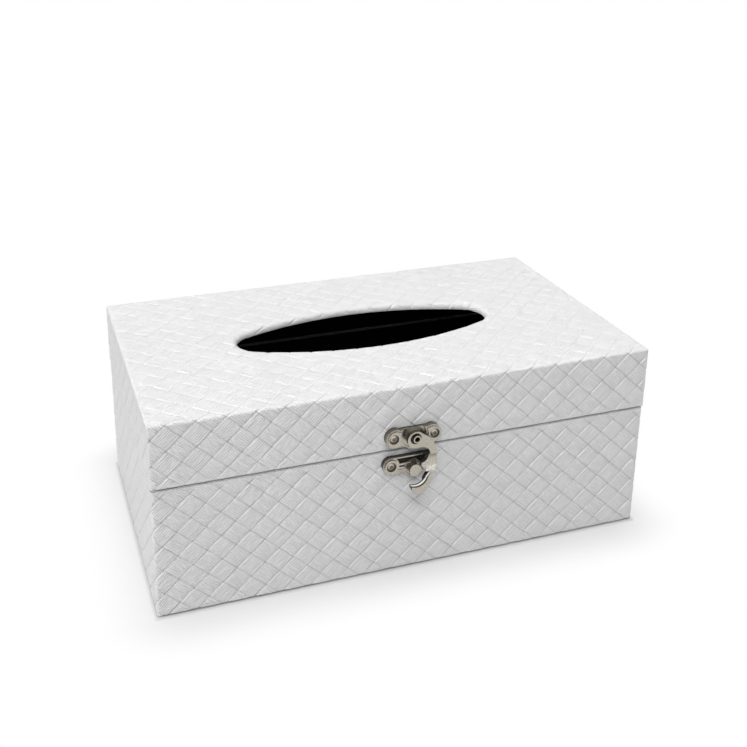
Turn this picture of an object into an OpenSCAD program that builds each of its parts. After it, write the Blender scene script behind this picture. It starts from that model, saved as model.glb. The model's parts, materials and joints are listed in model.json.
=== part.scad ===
// Tissue box with a hinged lid, an oval slot in the lid and a swing hook latch.
// A box and a lid of thin boards, each wrapped in leatherette and lined in black,
// are joined by two butt hinges at the back and held shut by the latch in front.
//
// Millimetres, +Z up. The origin is the centre of the underside, X runs along the
// box, and the latch is on the -Y side.

/* [Box] */
// Length of the closed box, over the leatherette of the lid
box_w = 250; // [200:1:300]
// Depth of the closed box, without the latch and the hinges
box_d = 140; // [120:1:170]
// Height of the closed box
box_h = 98; // [85:1:130]
// Height of the joint between the box and the lid
split_z = 66; // [60:1:74]
// Gap between the two rims when the lid is down
rim_gap = 0.8; // [0.4:0.05:0.8]
// How far the lid stands proud of the box at the front and the sides
lid_overhang = 0.4; // [0:0.1:0.8]
// Radius of the upright corners and of the top edges
corner_r = 1.4; // [1:0.1:2.5]
// Radius of the leatherette where it turns over a rim or under the box
lip_r = 0.8; // [0.5:0.1:1]

/* [Boards and coverings] */
// Thickness of the wall boards
wall_t = 5; // [4:0.5:8]
// Thickness of the lid's top board
top_board_t = 2; // [2:0.1:4]
// Thickness of the floor board
floor_t = 3; // [2:0.5:5]
// Thickness of the leatherette
cover_t = 0.8; // [0.6:0.1:1]
// Thickness of the black lining
lining_t = 0.6; // [0.4:0.1:1]
// Thickness of the felt under the box
felt_t = 0.8; // [0.5:0.1:2]
// How far the felt stays back from the edge of the box
felt_inset = 2.5; // [1:0.5:6]
// Width of the leatherette that is turned under the box
turn_under = 12; // [8:1:20]

/* [Slot] */
// Length of the slot's clear opening
slot_l = 136; // [100:1:160]
// Width of the slot's clear opening
slot_w = 46.4; // [35:0.1:60]
// Radius of the slot's two ends
slot_end_r = 12; // [10:0.5:16]
// Rounding of the leatherette over the slot's edge
slot_edge_r = 2.4; // [1.2:0.1:2.6]

/* [Hinges] */
// Distance of each hinge from the middle of the back
hinge_x = 75; // [50:1:95]
// Length of a hinge along its pin
hinge_w = 22; // [18:1:30]
// Height of a hinge leaf below or above its barrel
leaf_h = 8; // [6:0.5:12]
// Thickness of a hinge leaf
leaf_t = 0.6; // [0.5:0.1:1]
// Radius of a hinge barrel
barrel_r = 1.25; // [1.2:0.05:1.5]
// Radius of a hinge pin
pin_r = 0.6; // [0.5:0.05:0.7]
// How far the pin's axis lies inside the back face of the box
pin_inset = 0.45; // [0.4:0.05:0.5]

/* [Latch] */
// Sideways place of the latch from the middle of the front
latch_x = -2; // [-10:0.5:10]
// Height of the latch pivot above the joint
pivot_rise = 7.8; // [7:0.1:10]
// Radius of the hook's round head
hook_head_r = 4.25; // [4:0.05:5]
// Thickness of the hook
hook_t = 2.7; // [2:0.1:4]
// How far the thumb tail bends out from the hook's face
tail_rise = 2; // [1:0.1:3]
// Distance of the catch post below the latch pivot
post_drop = 17.4; // [17:0.1:18]
// Radius of the catch post's flat head
post_head_r = 3.15; // [2.8:0.05:3.2]

/* [Hidden] */
$fn = 64;
eps = 0.01;

// Outlines: the lid is centred, and the box is smaller at the front and the sides
// only, so that both backs are flush for the hinges.
base_w = box_w - 2 * lid_overhang;
base_d = box_d - lid_overhang;
base_y = lid_overhang / 2;
lid_rim_z = split_z + rim_gap / 2;
base_rim_z = split_z - rim_gap / 2;
lid_front_y = -box_d / 2;
base_front_y = base_y - base_d / 2;
back_y = box_d / 2;

// Heights of the boards inside the coverings
boards_z = felt_t + cover_t;
base_boards_top = base_rim_z - cover_t;
floor_top = boards_z + floor_t;
lid_boards_z = lid_rim_z + cover_t;
ceiling_z = box_h - cover_t - top_board_t;
lining_gap = 0.3;        // between the two linings, which stand a little past the rims

// Slot: an oval of four arcs, two small ends joined by two long sides. At the sizes
// above, the arcs' centres stand 56 and 134.4 from the middle, a 5:12:13 triangle,
// so that the arcs meet on round numbers.
slot_a = slot_l / 2;
slot_b = slot_w / 2;
end_x = slot_a - slot_end_r;
side_r = (end_x * end_x + slot_b * slot_b - slot_end_r * slot_end_r)
    / (2 * (slot_b - slot_end_r));
side_y = side_r - slot_b;

// Hinges
pin_y = back_y - pin_inset;
leaf_gap = 1.8;          // from the pin's axis to the nearest edge of a leaf
knuckle_gap = 0.3;
middle_knuckle = 7;      // length of the lid leaf's knuckle
barrel_clear = 0.3;      // around the barrels, in the two rims
pin_head_r = 0.95;
pin_head_t = 0.5;
hinge_nail_x = 7;
hinge_nail_z = 5.8;
hinge_nail_r = 0.5;
hinge_nail_head_r = 1.1;
hinge_nail_head_t = 0.5;
hinge_nail_depth = 3.6;  // into the back of the box, under the leaf

// Latch: depths are measured outwards from the lid's front face
pivot_z = split_z + pivot_rise;
plate_t = 1.8;           // floor of the upper plate
pad_t = 3.7;             // raised ends of both plates
panel_inset = 0.75;      // the ends' faces stand back from their edges
panel_rise = 0.7;
plate_y = -0.4;          // the upper plate's middle, from the pivot
plate_bar_h = 8.2;
bay_r = 6.2;             // bay in the upper plate for the hook's head
bay_rim_r = 6.9;
bay_rim_t = 2.4;
washer_r = 3.6;
washer_t = 2.6;
boss_r = 3;
boss_t = 4.6;            // seat of the hook around the rivet
hook_back = 3.9;
hook_front = hook_back + hook_t;
head_offset = [-0.4, -0.4];      // middle of the round head, from the pivot
head_back = 4.7;         // the head is thinner than the crescent
tail_back = 5.5;         // where the tail crosses in front of the catch post
tail_front = hook_front + tail_rise;
post_top = 5.2;
post_x = 0.4;
post_clear = 0.3;
sweep = [-3, -10];       // centre of the crescent's outer edge, from the pivot
sweep_r = 13.6;
elbow = [3.9, -12.8];    // where the crescent turns in towards the tail
elbow_r = 6.6;
hook_bay = [2.6, -8.9];
hook_bay_r = 4.3;
beak = [5.6, -14.4];
beak_r = 3;
hollow = [-0.4, -18.5];  // opening between the tail and the beak, round the post
hollow_r = 5.8;
notch = [7.7, -17.1];    // where the opening runs out beside the beak
bend_y = -14.6;          // the tail leaves the crescent's flat face here
thumb_y = -21;           // and reaches its full depth here
tail_tip = [1, -24.2];
tail_tip_r = 3.9;
ear_x = 9.2;
ear_r = 4.7;
latch_nail = [10.2, -0.2];
latch_nail_r = 0.6;
latch_nail_head_r = 1.9;
latch_nail_head_t = 0.7;
latch_nail_depth = 4.4;
nail_dimple_r = 0.9;
nail_dimple_t = 0.45;
nail_recess_r = 2.3;
nail_recess_t = 0.8;
rivet_r = 1.65;
rivet_seat = [-0.55, 0.35];      // sunk into the hook's head, round the rivet
rivet_seat_r = 2.75;
rivet_seat_t = 1;
rivet_flange_r = 1.95;
rivet_flange_t = 1.4;
rivet_bore_r = 1.25;
catch_ear = [-11.2, 2.6];        // from the catch post
catch_ear_r = 4.1;
catch_far_ear = [7.6, 3.2];
catch_far_ear_r = 3.5;
catch_wall_t = 0.6;      // thickness of the wall round the lower plate's channel
catch_boss_r = 4.3;
catch_flange_t = 1;
catch_bar_t = 2.2;
catch_bar_h = 5.4;
catch_nails = [[-11.3, 2.4], [7.8, 3.2]];

// ---------------------------------------------------------------- profiles

// Rectangle with round corners, centred
module rounded_rect(w, d, r) {
    square([w - 2 * r, d], center = true);
    square([w, d - 2 * r], center = true);
    for (x = [-1, 1], y = [-1, 1])
        translate([x * (w / 2 - r), y * (d / 2 - r)]) circle(r);
}

// Rectangle standing on z0, with one radius for its feet and one for its shoulders
module edge_profile(w, z0, z1, foot_r, shoulder_r) {
    translate([-w / 2, z0 + foot_r]) square([w, z1 - z0 - foot_r - shoulder_r]);
    translate([-w / 2 + foot_r, z0]) square([w - 2 * foot_r, foot_r + eps]);
    translate([-w / 2 + shoulder_r, z1 - shoulder_r - eps])
        square([w - 2 * shoulder_r, shoulder_r + eps]);
    for (side = [-1, 1]) {
        translate([side * (w / 2 - foot_r), z0 + foot_r]) circle(foot_r);
        translate([side * (w / 2 - shoulder_r), z1 - shoulder_r]) circle(shoulder_r);
    }
}

// Box with every edge rounded: the plan, the front and the side outlines crossed
module soft_box(w, d, z0, z1, foot_r, shoulder_r) {
    intersection() {
        translate([0, 0, z0 - 1]) linear_extrude(z1 - z0 + 2) rounded_rect(w, d, corner_r);
        rotate([90, 0, 0]) linear_extrude(d + 2, center = true)
            edge_profile(w, z0, z1, foot_r, shoulder_r);
        rotate([90, 0, 90]) linear_extrude(w + 2, center = true)
            edge_profile(d, z0, z1, foot_r, shoulder_r);
    }
}

// Upright block, centred in plan, from z0 to z1
module block(w, d, z0, z1) {
    translate([-w / 2, -d / 2, z0]) cube([w, d, z1 - z0]);
}

// The slot's oval, grown all round by a margin
module slot_oval(margin = 0) {
    big = side_r + margin;
    small = slot_end_r + margin;
    tangent_x = end_x + small * end_x / (side_r - slot_end_r);
    intersection() {
        translate([0, -side_y]) circle(big, $fn = 256);
        translate([0, side_y]) circle(big, $fn = 256);
        square([2 * tangent_x, 3 * slot_w], center = true);
    }
    for (side = [-1, 1]) translate([side * end_x, 0]) circle(small);
}

// ---------------------------------------------------------------- boards

// One of four wall boards: the front and back run full length, the sides between
module wall_board(side, w, d, z0, z1) {
    if (side == "front" || side == "back") {
        y = side == "front" ? -d / 2 : d / 2 - wall_t;
        translate([-w / 2, y, z0]) cube([w, wall_t, z1 - z0]);
    } else {
        x = side == "left" ? -w / 2 : w / 2 - wall_t;
        translate([x, wall_t - d / 2, z0]) cube([wall_t, d - 2 * wall_t, z1 - z0]);
    }
}

module base_wall(side) {
    translate([0, base_y, 0])
        wall_board(side, base_w - 2 * cover_t, base_d - 2 * cover_t,
            boards_z, base_boards_top);
}

module lid_wall(side) {
    wall_board(side, box_w - 2 * cover_t, box_d - 2 * cover_t, lid_boards_z, ceiling_z);
}

module base_floor_board() {
    color("burlywood")
        translate([0, base_y, 0])
            block(base_w - 2 * (cover_t + wall_t), base_d - 2 * (cover_t + wall_t),
                boards_z, floor_top);
}

module base_front_board() {
    color("burlywood") difference() {
        base_wall("front");
        catch_nail_holes();
    }
}

module base_back_board() {
    color("burlywood") difference() {
        base_wall("back");
        barrel_room();
        hinge_nail_holes(-1);
    }
}

module base_left_board() {
    color("burlywood") base_wall("left");
}

module base_right_board() {
    color("burlywood") base_wall("right");
}

module lid_top_board() {
    color("burlywood") difference() {
        block(box_w - 2 * cover_t, box_d - 2 * cover_t, ceiling_z, box_h - cover_t);
        translate([0, 0, ceiling_z - 1]) linear_extrude(top_board_t + 2)
            slot_oval(cover_t);
        slot_edge_rounding(cover_t);
    }
}

module lid_front_board() {
    color("burlywood") difference() {
        lid_wall("front");
        latch_nail_holes();
    }
}

module lid_back_board() {
    color("burlywood") difference() {
        lid_wall("back");
        barrel_room();
        hinge_nail_holes(1);
    }
}

module lid_left_board() {
    color("burlywood") lid_wall("left");
}

module lid_right_board() {
    color("burlywood") lid_wall("right");
}

// ---------------------------------------------------------------- coverings

// Leatherette of the box: four sides, turned over the rim and under the bottom
module base_cover() {
    bare = 2 * cover_t;
    inside = 2 * (cover_t + wall_t);
    color("whitesmoke") difference() {
        translate([0, base_y, 0]) difference() {
            soft_box(base_w, base_d, felt_t, base_rim_z, lip_r, lip_r);
            block(base_w - bare, base_d - bare, boards_z, base_boards_top);
            block(base_w - inside, base_d - inside, base_boards_top - 1, base_rim_z + 1);
            block(base_w - 2 * turn_under, base_d - 2 * turn_under, 0, boards_z + 1);
        }
        barrel_room();
        hinge_nail_holes(-1);
        catch_nail_holes();
    }
}

// Leatherette of the lid: the top, four sides, the rim and down through the slot
module lid_cover() {
    bare = 2 * cover_t;
    inside = 2 * (cover_t + wall_t);
    color("whitesmoke") difference() {
        soft_box(box_w, box_d, lid_rim_z, box_h, lip_r, corner_r);
        difference() {
            block(box_w - bare, box_d - bare, lid_boards_z, box_h - cover_t);
            translate([0, 0, ceiling_z - lining_t]) linear_extrude(top_board_t + 2)
                slot_oval(cover_t);
            slot_edge_rounding(cover_t);
        }
        block(box_w - inside, box_d - inside, lid_rim_z - 1, lid_boards_z + 1);
        translate([0, 0, ceiling_z - 2]) linear_extrude(top_board_t + 6) slot_oval();
        slot_edge_rounding();
        barrel_room();
        hinge_nail_holes(1);
        latch_nail_holes();
    }
}

// What is cut away to round the slot's upper edge, or the board's edge under the
// leatherette, at a depth below it: a full sweep for each arc of the oval, kept
// between the lines through the arcs' centres, where one arc meets the next
module slot_edge_rounding(depth = 0) {
    for (turn = [0, 180]) rotate(turn) {
        intersection() {
            translate([0, -side_y, 0]) edge_sweep(side_r, 256, depth);
            linear_extrude(box_h + 2)
                polygon([[0, -side_y], [2 * end_x, side_y], [-2 * end_x, side_y]]);
        }
        intersection() {
            translate([end_x, 0, 0]) rotate(180) edge_sweep(slot_end_r, 64, depth);
            linear_extrude(box_h + 2)
                polygon([[end_x, 0], [2 * end_x, -side_y], [2 * end_x, side_y]]);
        }
    }
}

module edge_sweep(r, facets, depth) {
    rotate_extrude($fn = facets) difference() {
        translate([r - 1, box_h - slot_edge_r]) square([slot_edge_r + 1, slot_edge_r + 1]);
        translate([r + slot_edge_r, box_h - slot_edge_r]) circle(slot_edge_r - depth);
    }
}

// Black lining of the box: a tray of thin sheet on the floor and the walls
module base_lining() {
    inside = 2 * (cover_t + wall_t);
    clear = inside + 2 * lining_t;
    color("#141414") translate([0, base_y, 0]) difference() {
        block(base_w - inside, base_d - inside, floor_top, split_z - lining_gap / 2);
        block(base_w - clear, base_d - clear, floor_top + lining_t, base_rim_z + 1);
    }
}

// Black lining of the lid, cut out around the slot
module lid_lining() {
    inside = 2 * (cover_t + wall_t);
    clear = inside + 2 * lining_t;
    color("#141414") difference() {
        block(box_w - inside, box_d - inside, split_z + lining_gap / 2, ceiling_z);
        block(box_w - clear, box_d - clear, split_z - 1, ceiling_z - lining_t);
        translate([0, 0, ceiling_z - 2]) linear_extrude(4) slot_oval(cover_t);
    }
}

// Felt that the box stands on, over the turned-under edge of the leatherette
module underside_felt() {
    rim = 2 * felt_inset;
    color("#1c1c1c") translate([0, base_y, 0]) {
        block(base_w - rim, base_d - rim, 0, felt_t);
        block(base_w - 2 * turn_under, base_d - 2 * turn_under, felt_t - eps, boards_z);
    }
}

// ---------------------------------------------------------------- hinges

// Rod along X about the hinge axis, centred
module rod(r, len) {
    rotate([0, 90, 0]) cylinder(r = r, h = len, center = true);
}

// Places its children at both hinges, with the pin's axis at their origin
module at_hinges() {
    for (side = [-1, 1]) translate([side * hinge_x, pin_y, split_z]) children();
}

// Room for the barrels, cut from both rims
module barrel_room() {
    at_hinges() rod(barrel_r + barrel_clear, hinge_w + 2);
}

// Pilot holes under the leaves: way is 1 in the lid and -1 in the box
module hinge_nail_holes(way) {
    at_hinges() for (x = [-hinge_nail_x, hinge_nail_x])
        translate([x, pin_inset + leaf_t + 1, way * hinge_nail_z]) rotate([90, 0, 0])
            cylinder(r = hinge_nail_r, h = hinge_nail_depth + leaf_t + 1);
}

// Flat leaf with rounded far corners and two holes, in the hinge's own frame
module leaf_plate(way) {
    translate([0, pin_inset + leaf_t, 0]) rotate([90, 0, 0]) linear_extrude(leaf_t)
        scale(way) difference() {
            union() {
                translate([-hinge_w / 2, leaf_gap]) square([hinge_w, leaf_h / 2]);
                translate([0, leaf_gap + leaf_h / 2]) rounded_rect(hinge_w, leaf_h, 1.5);
            }
            for (x = [-hinge_nail_x, hinge_nail_x])
                translate([x, hinge_nail_z]) circle(hinge_nail_r);
        }
}

// Knuckle rolled from the edge of a leaf: centre and length along the pin
module knuckle(way, x, len, bore_r) {
    translate([x, 0, 0]) difference() {
        union() {
            rod(barrel_r, len);
            translate([-len / 2, pin_inset, way > 0 ? 0 : -leaf_gap - eps])
                cube([len, leaf_t, leaf_gap + eps]);
        }
        rod(bore_r, len + 1);
    }
}

module base_leaf() {
    outer_len = (hinge_w - middle_knuckle) / 2 - knuckle_gap;
    color("#a8a296") {
        leaf_plate(-1);
        for (side = [-1, 1])
            knuckle(-1, side * (hinge_w - outer_len) / 2, outer_len, pin_r + 0.02);
    }
}

module lid_leaf() {
    color("#a8a296") {
        leaf_plate(1);
        knuckle(1, 0, middle_knuckle, pin_r + 0.06);
    }
}

module hinge_pin() {
    color("#8f897d") {
        rod(pin_r, hinge_w + 2 * eps);
        for (side = [-1, 1])
            translate([side * (hinge_w + pin_head_t) / 2, 0, 0]) rod(pin_head_r, pin_head_t);
    }
}

// Round-headed nail along -Z, with the underside of its head at the origin
module nail(r, head_r, head_t, depth) {
    crown_r = (head_r * head_r + head_t * head_t) / (2 * head_t);
    translate([0, 0, -depth]) cylinder(r = r, h = depth + eps);
    rotate_extrude() intersection() {
        translate([0, head_t - crown_r]) circle(crown_r, $fn = 128);
        square([head_r, head_t]);
    }
}

module hinge_nails(way) {
    color("#8f897d") at_hinges() for (x = [-hinge_nail_x, hinge_nail_x])
        translate([x, pin_inset + leaf_t, way * hinge_nail_z]) rotate([-90, 0, 0])
            nail(hinge_nail_r, hinge_nail_head_r, hinge_nail_head_t,
                hinge_nail_depth + leaf_t);
}

module left_hinge_base_leaf() {
    translate([-hinge_x, pin_y, split_z]) base_leaf();
}

module right_hinge_base_leaf() {
    translate([hinge_x, pin_y, split_z]) base_leaf();
}

module left_hinge_lid_leaf() {
    translate([-hinge_x, pin_y, split_z]) lid_leaf();
}

module right_hinge_lid_leaf() {
    translate([hinge_x, pin_y, split_z]) lid_leaf();
}

module left_hinge_pin() {
    translate([-hinge_x, pin_y, split_z]) hinge_pin();
}

module right_hinge_pin() {
    translate([hinge_x, pin_y, split_z]) hinge_pin();
}

module hinge_base_nails() {
    hinge_nails(-1);
}

module hinge_lid_nails() {
    hinge_nails(1);
}

// ---------------------------------------------------------------- latch

// Latch frame: X and Y of its children are across and up the front face, Z is
// outwards from the lid's front face, and the origin is the pivot.
module on_front(out = 0) {
    translate([latch_x, lid_front_y - out, pivot_z]) rotate([90, 0, 0]) children();
}

// The same, with the origin on the box's front face at the catch post
module at_catch(out = 0) {
    on_front(out - lid_overhang) translate([post_x, -post_drop, 0]) children();
}

module latch_nail_holes() {
    on_front() for (side = [-1, 1])
        translate([side * latch_nail.x, latch_nail.y, -latch_nail_depth])
            cylinder(r = latch_nail_r, h = 6);
}

module catch_nail_holes() {
    at_catch() for (p = catch_nails)
        translate([p.x, p.y, -latch_nail_depth]) cylinder(r = latch_nail_r, h = 6);
}

module one_latch_nail() {
    difference() {
        nail(latch_nail_r, latch_nail_head_r, latch_nail_head_t,
            latch_nail_depth + pad_t - nail_recess_t);
        translate([0, 0, latch_nail_head_t - nail_dimple_t])
            cylinder(r = nail_dimple_r, h = 1);
    }
}

// Upper plate: two round ends joined by a bar, with a round bay for the hook's head
module latch_plate() {
    color("#a8a296") on_front() difference() {
        union() {
            linear_extrude(plate_t) {
                plate_outline();
                bay_lobe();
            }
            linear_extrude(bay_rim_t) difference() {
                bay_lobe();
                circle(bay_r);
            }
            linear_extrude(pad_t - panel_rise) difference() {
                plate_outline();
                circle(bay_r);
            }
            linear_extrude(pad_t) difference() {
                plate_outline(panel_inset);
                circle(bay_r + panel_inset);
            }
            cylinder(r = washer_r, h = washer_t);
            cylinder(r = boss_r, h = boss_t);
        }
        translate([0, 0, -1]) cylinder(r = rivet_r, h = boss_t + 2);
        for (side = [-1, 1]) translate([side * latch_nail.x, latch_nail.y, 0]) {
            translate([0, 0, -1]) cylinder(r = latch_nail_r, h = pad_t + 2);
            translate([0, 0, pad_t - nail_recess_t]) cylinder(r = nail_recess_r, h = 2);
        }
    }
}

module plate_outline(inset = 0) {
    translate([0, plate_y]) {
        square([2 * ear_x, plate_bar_h - 2 * inset], center = true);
        for (side = [-1, 1]) translate([side * ear_x, 0]) circle(ear_r - inset);
    }
}

// Round lobe of the upper plate that hangs below its bar, around the bay
module bay_lobe() {
    intersection() {
        circle(bay_rim_r);
        translate([-bay_rim_r - 1, -bay_rim_r - 1])
            square([2 * bay_rim_r + 2, plate_y + plate_bar_h / 2 + bay_rim_r + 1]);
    }
}

module latch_nails() {
    color("#8f897d") on_front(pad_t - nail_recess_t) for (side = [-1, 1])
        translate([side * latch_nail.x, latch_nail.y, 0]) one_latch_nail();
}

// Tubular rivet that the hook turns on, with a rolled flange in front of it
module latch_rivet() {
    color("#c0baa8") on_front() difference() {
        union() {
            cylinder(r = rivet_r, h = hook_front);
            translate([0, 0, hook_front - rivet_seat_t + 0.05])
                cylinder(r = rivet_flange_r, h = rivet_flange_t);
        }
        translate([0, 0, 1]) cylinder(r = rivet_bore_r, h = hook_front + 2);
    }
}

// Swing hook: round head with a sunk seat for the rivet, broad crescent round an open
// bay, a beak beside the catch post, and a thumb tail that curls round under the post
// and stands out further than the rest.
module latch_hook() {
    color("#b5ae9e") on_front() difference() {
        translate([0, 0, hook_back]) {
            linear_extrude(hook_t) difference() {
                union() {
                    crescent_outline();
                    tail_outline();
                }
                hook_openings();
            }
            linear_extrude(tail_front - hook_back) difference() {
                tail_outline();
                hook_openings();
            }
        }
        tail_slope();
        // the tail is cut back where it lies in line with the post, which then
        // clears it when the lid lifts
        translate([post_x - 12, -post_drop - 16, 0])
            cube([12 + post_head_r + 0.6, 16, tail_back]);
        cylinder(r = hook_head_r + 1, h = head_back);
        cylinder(r = rivet_r + 0.06, h = 2 * hook_front);
        translate([rivet_seat.x, rivet_seat.y, hook_front - rivet_seat_t])
            cylinder(r = rivet_seat_r, h = hook_front);
    }
}

// Head, crescent and beak
module crescent_outline() {
    translate(head_offset) circle(hook_head_r);
    intersection() {
        translate(sweep) circle(sweep_r, $fn = 128);
        translate([0, elbow.y]) square([14, hook_head_r + head_offset.y - elbow.y]);
    }
    intersection() {
        translate(elbow) circle(elbow_r, $fn = 128);
        translate([beak.x, elbow.y - 5]) square([10, 9]);
    }
    translate(beak) circle(beak_r);
}

// Outside of the thumb tail: from the elbow, straight down to the round tip
module tail_outline() {
    away = tail_tip - elbow;
    far = norm(away);
    turn = atan2(away.y, away.x) + acos((elbow_r - tail_tip_r) / far);
    normal = [cos(turn), sin(turn)];
    intersection() {
        translate(elbow) circle(elbow_r, $fn = 128);
        translate([elbow.x + 1, elbow.y - 9]) square([10, 8]);
    }
    polygon([
        elbow + [1, -3], elbow + normal * (elbow_r - 0.05),
        tail_tip + normal * (tail_tip_r - 0.05), tail_tip
    ]);
    translate(tail_tip) circle(tail_tip_r);
}

// The open bay, and the opening round the post, which runs up beside the beak
module hook_openings() {
    translate(hook_bay) circle(hook_bay_r);
    translate([hook_bay.x - 12, hook_bay.y - hook_bay_r]) square([12, 2 * hook_bay_r]);
    translate([post_x, -post_drop]) circle(post_head_r + post_clear);
    difference() {
        union() {
            translate(hollow) circle(hollow_r, $fn = 96);
            polygon([hollow + [5, 2.9], notch, hollow + [5.4, -2]]);
        }
        translate(beak) circle(beak_r);
        translate([beak.x - 12, beak.y]) square([16, 10]);
    }
}

// Slope from the crescent's flat face out to the thumb's
module tail_slope() {
    slope = atan(tail_rise / (bend_y - thumb_y));
    translate([-12, thumb_y, tail_front]) rotate([-slope, 0, 0]) cube([30, 12, 5]);
}

// Lower plate: a thin flange with a raised end, a walled channel along its upper edge,
// ridges under the channel and a boss for the post
module catch_plate() {
    wall_h = pad_t - lid_overhang;
    top_y = catch_ear.y + catch_ear_r;
    span = catch_far_ear.x - catch_ear.x;
    color("#a8a296") at_catch() difference() {
        union() {
            linear_extrude(catch_flange_t) catch_outline();
            linear_extrude(wall_h - panel_rise) translate(catch_ear) circle(catch_ear_r);
            linear_extrude(wall_h) translate(catch_ear) circle(catch_ear_r - panel_inset);
            linear_extrude(wall_h - panel_rise) {
                translate([catch_ear.x, top_y - catch_wall_t]) square([span, catch_wall_t]);
                translate(catch_far_ear) difference() {
                    circle(catch_far_ear_r);
                    circle(catch_far_ear_r - catch_wall_t);
                    translate([-2 * catch_far_ear_r, -catch_far_ear_r])
                        square([2 * catch_far_ear_r, 4 * catch_far_ear_r]);
                }
            }
            translate([catch_ear.x, 2.3, 1.5]) rotate([0, 90, 0])
                cylinder(r = 0.75, h = -catch_ear.x);
            translate([catch_ear.x, 0, 0]) cube([-catch_ear.x, 1.1, catch_bar_t - 0.1]);
            translate([catch_ear.x, -catch_bar_h / 2, 0])
                cube([-catch_ear.x, catch_bar_h / 2 - 0.5, catch_bar_t - 0.5]);
            cylinder(r = catch_boss_r, h = catch_bar_t - 0.5);
            cylinder(r = catch_boss_r - 1.2, h = catch_bar_t);
        }
        for (p = catch_nails) translate([p.x, p.y, -1])
            cylinder(r = latch_nail_r, h = pad_t + 2);
        translate([catch_nails[0].x, catch_nails[0].y, wall_h - nail_recess_t])
            cylinder(r = nail_recess_r, h = 2);
        translate([0, 0, -1]) cylinder(r = 1.4, h = pad_t + 2);
    }
}

module catch_outline() {
    difference() {
        union() {
            translate(catch_ear) circle(catch_ear_r);
            translate(catch_far_ear) circle(catch_far_ear_r);
            circle(catch_boss_r);
            translate([catch_ear.x, -catch_bar_h / 2])
                square([catch_far_ear.x - catch_ear.x,
                    catch_ear.y + catch_ear_r + catch_bar_h / 2]);
        }
        translate([-5.2, -catch_bar_h / 2 - 3.4]) circle(3.4);
    }
}

// Catch post: a turned pin with a flat head, riveted through the lower plate
module catch_post() {
    top = post_top + lid_overhang;
    color("#c0baa8") at_catch() rotate_extrude() {
        square([1.4, top - 0.5]);
        translate([0, catch_bar_t]) square([1.8, top - catch_bar_t - 0.5]);
        translate([0, top - 1]) square([post_head_r - 0.2, 1]);
        translate([0, top - 0.8]) square([post_head_r, 0.6]);
        translate([post_head_r - 0.2, top - 0.8]) circle(0.2);
        translate([post_head_r - 0.2, top - 0.2]) circle(0.2);
    }
}

module catch_nails() {
    seats = [pad_t - lid_overhang - nail_recess_t, catch_flange_t];
    color("#8f897d") at_catch() for (i = [0, 1])
        translate([catch_nails[i].x, catch_nails[i].y, seats[i]]) difference() {
            nail(latch_nail_r, latch_nail_head_r, latch_nail_head_t,
                latch_nail_depth + seats[i]);
            translate([0, 0, latch_nail_head_t - nail_dimple_t])
                cylinder(r = nail_dimple_r, h = 1);
        }
}

// ---------------------------------------------------------------- nodes

underside_felt();
base_floor_board();
base_front_board();
base_back_board();
base_left_board();
base_right_board();
base_cover();
base_lining();
left_hinge_base_leaf();
right_hinge_base_leaf();
left_hinge_pin();
right_hinge_pin();
hinge_base_nails();
catch_plate();
catch_post();
catch_nails();
lid_top_board();
lid_front_board();
lid_back_board();
lid_left_board();
lid_right_board();
lid_cover();
lid_lining();
left_hinge_lid_leaf();
right_hinge_lid_leaf();
hinge_lid_nails();
latch_plate();
latch_rivet();
latch_nails();
latch_hook();
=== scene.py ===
"""A tissue box in white leatherette with a pressed basket weave, round its CAD model."""

import json
import math
from typing import NamedTuple

import bmesh
import bpy
from bpy.props import FloatProperty, FloatVectorProperty, PointerProperty
from bpy.types import Operator, Panel, PropertyGroup
from mathutils import Matrix, Vector


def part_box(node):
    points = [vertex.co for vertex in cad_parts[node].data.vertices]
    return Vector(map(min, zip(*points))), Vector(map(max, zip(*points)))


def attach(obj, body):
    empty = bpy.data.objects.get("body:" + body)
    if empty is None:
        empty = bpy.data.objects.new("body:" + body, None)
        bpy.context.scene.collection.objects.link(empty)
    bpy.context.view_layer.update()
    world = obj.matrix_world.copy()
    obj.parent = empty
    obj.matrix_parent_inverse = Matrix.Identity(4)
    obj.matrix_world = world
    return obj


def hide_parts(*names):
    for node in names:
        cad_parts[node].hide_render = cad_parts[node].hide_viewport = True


bl_info = {
    "name": "Tissue Box",
    "version": (1, 0, 0),
    "blender": (4, 5, 0),
    "location": "View3D > Sidebar > Tissue Box",
    "description": "Leatherette, lining, latch and hinges of a tissue box with a hinged lid",
    "category": "Add Mesh",
}

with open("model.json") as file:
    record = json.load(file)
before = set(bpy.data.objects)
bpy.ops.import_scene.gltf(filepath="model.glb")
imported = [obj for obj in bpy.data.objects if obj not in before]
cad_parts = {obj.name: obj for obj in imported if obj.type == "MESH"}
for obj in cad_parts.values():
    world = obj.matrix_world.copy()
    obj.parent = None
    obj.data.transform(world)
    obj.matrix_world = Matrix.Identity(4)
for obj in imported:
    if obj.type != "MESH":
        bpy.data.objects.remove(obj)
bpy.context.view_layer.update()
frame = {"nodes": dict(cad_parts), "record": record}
NODES = frame["nodes"]

LID_LOW, LID_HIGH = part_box("lid_cover")
BASE_LOW, BASE_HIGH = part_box("base_cover")
PICTURE_PIXELS = 747
SENSOR_MM = 36
UP = Vector((0, 0, 1))
QUARTER = math.pi / 2
SMOOTH_BELOW = math.radians(33)


# ------------------------------------------------------------------ settings


def length(name, description, default):
    """A size in metres that the sidebar shows with its unit."""
    return FloatProperty(
        name=name, description=description, default=default, min=0, precision=5, unit="LENGTH"
    )


def offset(name, description, default):
    """A point, or the way from one point to another, in metres."""
    return FloatVectorProperty(
        name=name,
        description=description,
        default=default,
        size=len(default),
        precision=5,
        unit="LENGTH",
    )


def colour(name, description, default):
    """A linear colour."""
    return FloatVectorProperty(
        name=name, description=description, default=default, size=3, min=0, max=1, subtype="COLOR"
    )


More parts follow.
